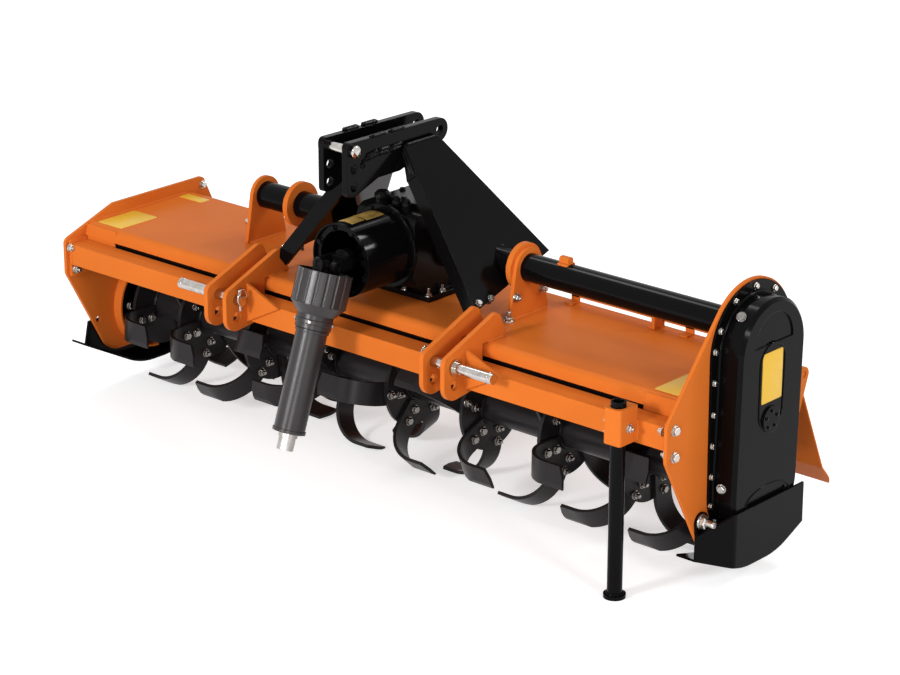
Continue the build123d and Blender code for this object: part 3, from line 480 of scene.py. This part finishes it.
brass_print = zinc_finish("brass_print", (0.62, 0.40, 0.10), 0.42)
bm = bmesh.new()
saddle_plate(bm, 0.018, 0.064, -16, 12)
saddle_plate(bm, 0.070, 0.136, -18, 14)
piece("guard_plates", bm, brass_print, "frame", smooth_deg=50)

# Gearbox: grey-iron casting with its cover, input yoke and joint, painted black over the cast
# skin; studs hold its base, small bolts the lid and the cover, and a breather sits on top.
dark_iron = paint("dark_iron", (0.006, 0.0054, 0.0054), (0.004, 0.0036, 0.0036), 0.22, 0.10,
                  peel=0.30, edge=0.004)
dress(dark_iron, "gearbox_housing", "gearbox_cover", "input_yoke", "pto_cross", "pto_yoke")
base_top = hood_top + 0.015
stud_flats, stud_side = 0.015, 0.110
bm = bmesh.new()
for stud_x in (-stud_side, -0.037, 0.027, stud_side):
    for stud_b in (0.2085, 0.430):
        hex_bolt(bm, at(stud_x, stud_b, base_top), (0, 0, 1), stud_flats, tip=0.014)
for side in (-1, 1):
    for stud_b in (0.262, 0.316, 0.372):
        hex_bolt(bm, at(side * stud_side, stud_b, base_top), (0, 0, 1), stud_flats, tip=0.010)
piece("gearbox_studs", bm, dull_zinc, "frame")

lid_b, lid_top, lid_step = 0.2925, span("gearbox_housing")[1].z, 0.056
cover_rim = span("gearbox_cover")[0].y + 0.018
cover_radius = 0.076
lid_flats = 0.013
breather = ((0.016, 0), (0.016, 0.010), (0.010, 0.012), (0.010, 0.020),
            (0.017, 0.022), (0.017, 0.030), (0.010, 0.036), (0, 0.037))
oil_cap = ((0.019, 0), (0.019, 0.014), (0.022, 0.016), (0.022, 0.026), (0.015, 0.034), (0, 0.036))
lug = ((0.015, 0), (0.015, 0.016), (0.0125, 0.022), (0.0125, 0.030), (0.008, 0.034), (0, 0.034))
lug_lean, lug_flats = (0.25, -0.35, 1), 0.015
bm = bmesh.new()
for step_x in (-1, 0, 1):
    for step_b in (-1, 0, 1):
        if step_x or step_b:
            hex_bolt(bm, at(step_x * lid_step, lid_b + step_b * lid_step, lid_top), (0, 0, 1), lid_flats)
for degrees in range(30, 360, 60):
    hex_bolt(bm, round_input(cover_rim, cover_radius, degrees), (0, 1, 0), lid_flats)
turned(bm, at(0, 0.300, lid_top), (0, 0, 1), breather)
turned(bm, at(-0.052, 0.212, lid_top - 0.016), (0, 0, 1), oil_cap)
for lug_x in (0.006, 0.040):
    turned(bm, at(lug_x, 0.205, lid_top - 0.021), lug_lean, lug)
    hex_bolt(bm, at(lug_x + 0.007, 0.196, lid_top + 0.009), lug_lean, lug_flats)
piece("gearbox_fittings", bm, dark_iron, "frame")

# Cross drive: black tubes between orange discs, carried on the hood by round-headed brackets with
# bright bolts through them; one more bolt stands on the hood in front of the right bracket, and a
# small orange tab is welded on top of the right tube.
right_clamp_x = span("tube_clamp_right")[1].x
left_clamp_x = span("tube_clamp_left")[0].x
clamp_bolt_z, clamp_flats = 0.556, 0.019
hood_bolt_b, hood_bolt_flats = 0.230, 0.020
bm = bmesh.new()
for clamp_x, side in ((right_clamp_x, 1), (left_clamp_x, -1)):
    for bolt_b in (0.258, 0.362):
        hex_bolt(bm, at(clamp_x, bolt_b, clamp_bolt_z), (side, 0, 0), clamp_flats, tip=0.006)
hex_bolt(bm, at(right_clamp_x, hood_bolt_b, hood_top), (0, 0, 1), hood_bolt_flats, tip=0.016)
piece("bracket_bolts", bm, bright_zinc, "frame")

tab_section = ((0.300, 0.655), (0.320, 0.655), (0.320, 0.676),
               (0.316, 0.680), (0.304, 0.680), (0.300, 0.676))
tab_from, tab_to, tab_weld_z = 0.470, 0.500, 0.661
bm = bmesh.new()
x_bar(bm, tab_section, tab_from, tab_to)
for weld_b in (0.296, 0.324):
    weld_bead(bm, *(at(x, weld_b, tab_weld_z) for x in (tab_from - 0.002, tab_to + 0.002)), radius=0.004)
piece("tube_tab", bm, orange_coat, "frame")

# Side gear case: pressed steel cover, seam-welded to its bolted flange, black enamel;
# bright flange bolts, a filler and a drain plug, and a blank yellow plate in a raised frame.
flange_x = plate_outer + 0.006
face_x = plate_outer + 0.070
head_b, head_z, head_reach = 0.310, 0.585, 0.149
tail_b, tail_z, tail_reach = 0.300, 0.238, 0.140
front_bolt_b, front_bolt_z = 0.160, 0.607
case_flats = 0.013


def round_side(x, back, z, radius, degrees):
    """Place on a circle in side view, counted from the rear upwards."""
    turn = math.radians(degrees)
    return at(x, back + radius * math.cos(turn), z + radius * math.sin(turn))


bm = bmesh.new()
for degrees in range(-8, 153, 32):
    hex_bolt(bm, round_side(flange_x, head_b, head_z, head_reach, degrees), (1, 0, 0), case_flats)
for bolt_z in (0.528, 0.447, 0.367, 0.287, 0.211):
    share = (head_z - bolt_z) / (head_z - tail_z)
    row_b = head_b + (tail_b - head_b) * share
    reach = head_reach + (tail_reach - head_reach) * share
    for side in (-1, 1):
        hex_bolt(bm, at(flange_x, row_b + side * reach, bolt_z), (1, 0, 0), case_flats)
hex_bolt(bm, at(flange_x, front_bolt_b, front_bolt_z), (1, 0, 0), case_flats)
for degrees in (212, 244, 276, 308, 335):
    hex_bolt(bm, round_side(flange_x, tail_b, tail_z, tail_reach, degrees), (1, 0, 0), case_flats)
piece("case_bolts", bm, bright_zinc, "frame")

plug = ((0.011, 0), (0.011, 0.013), (0.0125, 0.014), (0.0125, 0.017), (0, 0.017))
plug_flats, plug_root, plug_lip = 0.018, 0.012, 0.005
filler_place, filler_axis = at(1.094, 0.224, 0.684), (0.25, -0.80, 0.55)
drain_place, drain_axis = at(1.092, 0.170, 0.262), (0.30, -0.95, 0.0)
bm = bmesh.new()
for place, axis in ((filler_place, filler_axis), (drain_place, drain_axis)):
    axis = Vector(axis).normalized()
    turned(bm, place - axis * plug_root, axis, plug)
    hex_bolt(bm, place + axis * plug_lip, axis, plug_flats)
piece("case_plugs", bm, dull_zinc, "frame")


def loop_bead(bm, places, radius):
    """Smooth bead along a closed row of places that lie in side view."""
    across = Vector((1, 0, 0))
    sides = 8
    rings = []
    for step, place in enumerate(places):
        ahead = (places[(step + 1) % len(places)] - places[step - 1]).normalized()
        aside = ahead.cross(across).normalized()
        turns = [2 * math.pi * side / sides for side in range(sides)]
        rings.append([bm.verts.new(place + (aside * math.cos(turn) + across * math.sin(turn)) * radius)
                      for turn in turns])
    for step in range(len(rings)):
        near, far = rings[step - 1], rings[step]
        for side in range(sides):
            bm.faces.new((near[side - 1], near[side], far[side], far[side - 1]))


def case_loop(x, top_b, top_z, top_radius, low_b, low_z, low_radius):
    """Places round a shape with two round ends, in side view."""
    places = [round_side(x, top_b, top_z, top_radius, degrees) for degrees in range(0, 181, 6)]
    places += [round_side(x, low_b, low_z, low_radius, degrees) for degrees in range(180, 361, 6)]
    return places


seam_reach = 0.133
window_top, window_foot = (0.307, 0.556, 0.050), (0.305, 0.432, 0.048)
pressing_b, pressing_z, pressing_half_b, pressing_half_z = 0.305, 0.207, 0.089, 0.033
hub_x, hub_b, hub_z, hub_radius, hub_flats = face_x + 0.005, 0.305, 0.4115, 0.022, 0.007
bm = bmesh.new()
seam = case_loop(flange_x + 0.001, head_b, head_z, seam_reach, tail_b, tail_z, seam_reach)
loop_bead(bm, seam, radius=0.0055)
loop_bead(bm, case_loop(face_x, *window_top, *window_foot), radius=0.0028)
pressing_turns = [math.radians(degrees) for degrees in range(0, 360, 6)]
pressing = [at(face_x, pressing_b + pressing_half_b * math.cos(turn),
               pressing_z + pressing_half_z * math.sin(turn)) for turn in pressing_turns]
loop_bead(bm, pressing, radius=0.0024)
for degrees in range(18, 360, 72):
    hex_bolt(bm, round_side(hub_x, hub_b, hub_z, hub_radius, degrees), (1, 0, 0), hub_flats)
piece("case_seams", bm, black_enamel, "frame", smooth_deg=60)

blank_b, blank_z, blank_half_b, blank_half_z = 0.306, 0.522, 0.041, 0.064
bm = bmesh.new()
blank_plate(bm, at(face_x, blank_b, blank_z), (0, 1, 0), (0, 0, 1), blank_half_b, blank_half_z, corner=0.004)
piece("case_plate", bm, plate_yellow, "frame")

# Depth skids: bent steel sheet, black, the right one held by one heavy bright bolt and the left
# one by three, with short welds along the folded front of the right one.
left_skid_x = span("skid_left")[0].x
pivot_b, pivot_z = 0.129, 0.180
bm = bmesh.new()
hex_bolt(bm, at(flange_x, pivot_b, pivot_z), (1, 0, 0), flats=0.030, tip=0.022)
for bolt_b, bolt_z in ((0.300, 0.170), (0.150, 0.150), (0.400, 0.170)):
    hex_bolt(bm, at(left_skid_x, bolt_b, bolt_z), (-1, 0, 0), flats=0.024, tip=0.010)
piece("skid_bolts", bm, bright_zinc, "frame")

fold_inner, fold_outer = at(1.064, 0.105, 0.088), at(1.128, 0.160, 0.072)
bm = bmesh.new()
for step in range(5):
    share = 0.10 + 0.18 * step
    weld_bead(bm, *(fold_inner.lerp(fold_outer, part) for part in (share, share + 0.09)), radius=0.004)
piece("skid_welds", bm, black_enamel, "frame", smooth_deg=60)

# Parking leg: drawn steel tube in a welded box, with a round rim at its top and at its foot;
# set screws in the box's sides hold its height.
left_screw_b, right_screw_b, right_screw_z = -0.046, -0.031, 0.442
bm = bmesh.new()
for screw_z in (0.424, 0.452):
    hex_bolt(bm, at(sleeve_low.x, left_screw_b, screw_z), (-1, 0, 0), flats=0.013, tip=0.005)
hex_bolt(bm, at(sleeve_high.x, right_screw_b, right_screw_z), (1, 0, 0), flats=0.017, tip=0.006)
piece("sleeve_screws", bm, bright_zinc, "frame")

leg_x, leg_b = middle("stand_leg").xy
leg_top, leg_radius = span("stand_leg")[1].z, 0.019
foot_rim_z = 0.011
bm = bmesh.new()
for rim_z, rim in ((leg_top, circle_profile(leg_radius - 0.002, 0.0024)),
                   (foot_rim_z, circle_profile(leg_radius, 0.004))):
    turned(bm, at(leg_x, leg_b, rim_z), (0, 0, 1), rim, closed=True, steps=40)
piece("leg_rings", bm, black_enamel, "leg", smooth_deg=60)

# Rotor: tube, flanges and forged tines in satin black; a pair of dull zinc bolts with lock nuts
# holds every tine, and round welds hold the flanges on the tube.
tine_black = paint("tine_black", (0.020, 0.0175, 0.0185), (0.011, 0.0095, 0.0102), 0.32, 0.14, peel=0.06)
dress(tine_black, "rotor")


def joint_place(name):
    """A joint's place, measured as at() measures."""
    place = next(joint["pos_m"] for joint in frame["joints"] if joint["name"] == name)
    return Vector(place) - at(0, 0, 0)


rotor_b, rotor_z = joint_place("rotor_spin").yz
flange_half, tine_thick = 0.005, 0.009
flange_pitch, flange_shift = 0.263, -0.015
first_turn, helix_step = 49, 24
lean, lean_radius = math.radians(20), 0.095
tine_flats = 0.018
tine_sets = [(-0.988, 106, (1,)), (0.988, 26, (-1,))]
for index in range(7):
    tine_sets.append(((index - 3) * flange_pitch + flange_shift, first_turn - helix_step * index, (-1, 1)))


def on_rotor(x, degrees, off_pivot):
    """Place on the middle line of a tine's shank, measured out from the pivot of its lean."""
    y, z = off_pivot * math.sin(lean), lean_radius + off_pivot * math.cos(lean)
    turn = math.radians(degrees)
    return at(x, rotor_b + y * math.cos(turn) - z * math.sin(turn),
              rotor_z + y * math.sin(turn) + z * math.cos(turn))


bm = bmesh.new()
for x, turn, hands in tine_sets:
    for order, hand in enumerate(hands):
        for step in range(3):
            degrees = turn + (step + order / 2) * 120
            for off in (-0.022, 0.014):
                head = on_rotor(x + hand * (flange_half + tine_thick), degrees, off)
                hex_bolt(bm, head, (hand, 0, 0), tine_flats)
                nut = on_rotor(x - hand * flange_half, degrees, off)
                hex_bolt(bm, nut, (-hand, 0, 0), tine_flats, tip=0.008)
piece("tine_bolts", bm, dull_zinc, "rotor")

flange_weld = circle_profile(0.046, 0.0055, points=6)
bm = bmesh.new()
for x, turn, hands in tine_sets:
    for side in (-1, 1):
        weld_place = at(x + side * (flange_half + 0.002), rotor_b, rotor_z)
        turned(bm, weld_place, (1, 0, 0), flange_weld, closed=True, steps=40)
piece("flange_welds", bm, tine_black, "rotor", smooth_deg=60)

# Rotor bearing: steel hub on the left plate, held by six bright bolts with heads on both faces,
# with a grease nipple on top of the hub.
bearing_face, bearing_radius, bearing_flats = -1.038, 0.092, 0.019
nipple_x, nipple_up = -1.022, 0.061
nipple = ((0.005, 0), (0.005, 0.006), (0.003, 0.007), (0.003, 0.012),
          (0.0045, 0.014), (0.003, 0.018), (0, 0.018))
bm = bmesh.new()
for degrees in range(0, 360, 60):
    inside = round_side(bearing_face, rotor_b, rotor_z, bearing_radius, degrees)
    hex_bolt(bm, inside, (1, 0, 0), bearing_flats)
    outside = round_side(-plate_outer, rotor_b, rotor_z, bearing_radius, degrees)
    hex_bolt(bm, outside, (-1, 0, 0), bearing_flats)
turned(bm, at(nipple_x, rotor_b, rotor_z + nipple_up), (0, 0, 1), nipple, steps=14)
piece("bearing_bolts", bm, bright_zinc, "frame")

# Rear board: straps of bent flat bar on the hood's tail wrap the board's barrel under a cover
# strip, and welded flat bars with small bored lugs stiffen the board's rear face.
hinge_b, hinge_z = joint_place("board_lift").yz
strap_outer, strap_inner, strap_half = 0.0165, 0.0125, 0.025
cover_section = ((0.494, 0.4865), (0.547, 0.4545), (0.547, 0.4528), (0.494, 0.4840))
cover_half = 1.046


def round_hinge(radius, degrees):
    """Place in side view on a circle about the hinge, counted from the rear upwards."""
    turn = math.radians(degrees)
    return hinge_b + radius * math.cos(turn), hinge_z + radius * math.sin(turn)


strap = [(0.500, 0.486), (0.545, 0.455)]
strap += [round_hinge(strap_outer, degrees) for degrees in range(80, -101, -20)]
strap += [round_hinge(strap_inner, degrees) for degrees in range(-100, 81, 20)]
strap += [(0.543, 0.451), (0.498, 0.482)]
bm = bmesh.new()
for strap_x in (-0.93, -0.56, -0.19, 0.19, 0.56, 0.93):
    x_bar(bm, strap, strap_x - strap_half, strap_x + strap_half)
x_bar(bm, cover_section, -cover_half, cover_half)
piece("hinge_straps", bm, orange_coat, "frame")

board_back, board_fall = 0.4033, 0.9151


def on_board(along, lift):
    """Place in side view on the board, down from its hinge and lifted off its middle line to the rear."""
    return (hinge_b + board_back * along + board_fall * lift,
            hinge_z - board_fall * along + board_back * lift)


rib_outline = ((0.045, 0.001), (0.060, 0.009), (0.272, 0.009), (0.287, 0.001))
rib_section = [on_board(*corner) for corner in rib_outline]
rib_half, rib_weld, rib_bead_lift = 0.018, 0.030, 0.002
lug_outline = ((0.110, 0.001), (0.120, 0.026), (0.128, 0.036), (0.142, 0.040),
               (0.156, 0.036), (0.164, 0.026), (0.174, 0.001))
lug_section = [on_board(*corner) for corner in lug_outline]
lug_places, lug_half, cheek_thick = (-0.510, 0.510), 0.020, 0.006
bm = bmesh.new()
for rib_x in (-0.745, -0.25, 0.25, 0.745):
    x_bar(bm, rib_section, rib_x - rib_half, rib_x + rib_half)
    for weld_x in (rib_x - rib_half, rib_x + rib_half):
        for start in (0.075, 0.150, 0.225):
            run = (start, start + rib_weld)
            weld_bead(bm, *(at(weld_x, *on_board(along, rib_bead_lift)) for along in run), radius=0.004)
for lug_x in lug_places:
    for cheek_x in (lug_x - lug_half, lug_x + lug_half - cheek_thick):
        x_bar(bm, lug_section, cheek_x, cheek_x + cheek_thick)
piece("board_ribs", bm, orange_coat, "board")

lug_bolt_flats = 0.018
bore = on_board(along=0.142, lift=0.024)
shank = ((0.006, 0), (0.006, 2 * lug_half))
bm = bmesh.new()
for lug_x in lug_places:
    hex_bolt(bm, at(lug_x + lug_half, *bore), (1, 0, 0), lug_bolt_flats)
    hex_bolt(bm, at(lug_x - lug_half, *bore), (-1, 0, 0), lug_bolt_flats, tip=0.006)
    turned(bm, at(lug_x - lug_half, *bore), (1, 0, 0), shank, steps=16)
piece("board_bolts", bm, bright_zinc, "board")

# Half drive shaft: moulded plastic guard over a steel shaft, with hoops at the foot of the bell
# and at the end of the tube, and bright screws in the collar.
guard_plastic = paint("guard_plastic", (0.028, 0.0235, 0.0245), (0.022, 0.0185, 0.0195), 0.30, 0.36,
                      peel=0.12)
dress(guard_plastic, "pto_guard")
bare_steel = zinc_finish("bare_steel", (0.50, 0.48, 0.46), 0.34)
dress(bare_steel, "pto_inner_shaft")
shaft_top = at(*joint_place("shaft_lift"))
hang = math.radians(70)
down = Vector((0, -math.cos(hang), -math.sin(hang)))
forward = Vector((0, -math.sin(hang), math.cos(hang)))
bm = bmesh.new()
for along, inner, outer, slope, wide in ((0.140, 0.0465, 0.0495, 0.002, 0.014),
                                         (0.166, 0.0405, 0.0440, 0.001, 0.009),
                                         (0.428, 0.0405, 0.0435, 0.001, 0.010)):
    hoop = ((inner, 0), (outer, slope), (outer, wide - slope), (inner, wide))
    turned(bm, shaft_top + down * along, down, hoop, closed=True, steps=48)
piece("guard_hoops", bm, guard_plastic, "half_shaft")

screw_along, screw_reach = 0.147, 0.049
screw = ((0.005, 0), (0.005, 0.002), (0.0035, 0.0035), (0, 0.0035))
bm = bmesh.new()
for degrees in (-62, 28, 118, 208):
    turn = math.radians(degrees)
    outward = Vector((math.sin(turn), 0, 0)) + forward * math.cos(turn)
    turned(bm, shaft_top + down * screw_along + outward * screw_reach, outward, screw, steps=14)
piece("guard_screws", bm, bright_zinc, "half_shaft")

# Floor and sky: a wide studio floor of matt white paint under a white sky. Both show white
# to the camera and in reflections, while the light that they give stays lower.
floor_mesh = bpy.data.meshes.new("floor")
bm = bmesh.new()
bmesh.ops.create_grid(bm, x_segments=1, y_segments=1, size=40)
bm.to_mesh(floor_mesh)
bm.free()
floor = bpy.data.objects.new("floor", floor_mesh)
bpy.context.scene.collection.objects.link(floor)
floor_paint = bpy.data.materials.new("floor_paint")
floor_paint.use_nodes = True
nodes, links = floor_paint.node_tree.nodes, floor_paint.node_tree.links
shader = nodes["Principled BSDF"]
shader.inputs["Base Color"].default_value = (0.80, 0.80, 0.80, 1)
shader.inputs["Emission Color"].default_value = (1, 1, 1, 1)
shader.inputs["Roughness"].default_value = 0.9
shader.inputs["Specular IOR Level"].default_value = 0.1


def seen_level(nodes, links, hidden, shown):
    """One level for rays that show a surface to the camera, to metal and to glass, another for its light."""
    rays = nodes.new("ShaderNodeLightPath")
    seen = nodes.new("ShaderNodeMath")
    seen.operation = "MAXIMUM"
    seen_too = nodes.new("ShaderNodeMath")
    seen_too.operation = "MAXIMUM"
    level = nodes.new("ShaderNodeMapRange")
    level.inputs["To Min"].default_value = hidden
    level.inputs["To Max"].default_value = shown
    links.new(rays.outputs["Is Camera Ray"], seen.inputs[0])
    links.new(rays.outputs["Is Transmission Ray"], seen.inputs[1])
    links.new(seen.outputs["Value"], seen_too.inputs[0])
    links.new(rays.outputs["Is Glossy Ray"], seen_too.inputs[1])
    links.new(seen_too.outputs["Value"], level.inputs["Value"])
    return level.outputs["Result"]


links.new(seen_level(nodes, links, 0.0, 0.54), shader.inputs["Emission Strength"])
floor_mesh.materials.append(floor_paint)

world = bpy.data.worlds.new("studio")
world.use_nodes = True
nodes, links = world.node_tree.nodes, world.node_tree.links
sky = nodes["Background"]
sky.inputs["Color"].default_value = (1, 1, 1, 1)
links.new(seen_level(nodes, links, 0.46, 1.0), sky.inputs["Strength"])
bpy.context.scene.world = world

# Lamps: square soft boxes about a metre wide, two in front, one at each side
# and two behind, all turned to the machine.


def soft_lamp(name, place, target, size, watts):
    """Square soft box that looks at a target."""
    lamp = bpy.data.lights.new(name, "AREA")
    lamp.size = size
    lamp.energy = watts
    holder = bpy.data.objects.new(name, lamp)
    holder.location = place
    holder.rotation_euler = (Vector(target) - Vector(place)).to_track_quat("-Z", "Y").to_euler()
    bpy.context.scene.collection.objects.link(holder)


soft_lamp("front_box", (-0.4, -5.4, 2.4), (0, 0, 0.4), 1.0, 185)
soft_lamp("low_box", (3.4, -5.4, 0.9), (0, 0, 0.3), 1.2, 75)
soft_lamp("side_box", (5.6, -1.6, 2.6), (0, 0, 0.4), 1.0, 85)
soft_lamp("back_box", (1.2, 3.9, 4.6), (0, 0, 0.4), 0.8, 60)
soft_lamp("rim_box", (4.1, 4.3, 3.6), (0.6, 0, 0.4), 0.8, 70)
soft_lamp("left_box", (-2.5, 1.2, 5.0), (0, 0, 0.4), 1.2, 35)

# Camera: stands in front of the gear case's corner with a long lens, at the place that was
# fitted to the photo's beam, plates, tube and leg.
azimuth = math.radians(41.375)
elevation = math.radians(19.967)
roll = math.radians(0.097)
camera_place = (4.933, -5.463, 3.048)
backward = Vector((math.sin(azimuth) * math.cos(elevation), -math.cos(azimuth) * math.cos(elevation),
                   math.sin(elevation)))
right = Vector((math.cos(azimuth), math.sin(azimuth), 0))
up = backward.cross(right)
lens = bpy.data.cameras.new("camera")
lens.sensor_width = 36.0
lens.lens = 119.04
camera = bpy.data.objects.new("camera", lens)
facing = Matrix((right, up, backward)).transposed() @ Matrix.Rotation(roll, 3, "Z")
camera.matrix_world = Matrix.Translation(camera_place) @ facing.to_4x4()
bpy.context.scene.collection.objects.link(camera)
bpy.context.scene.camera = camera
bpy.context.scene.view_settings.view_transform = "Standard"
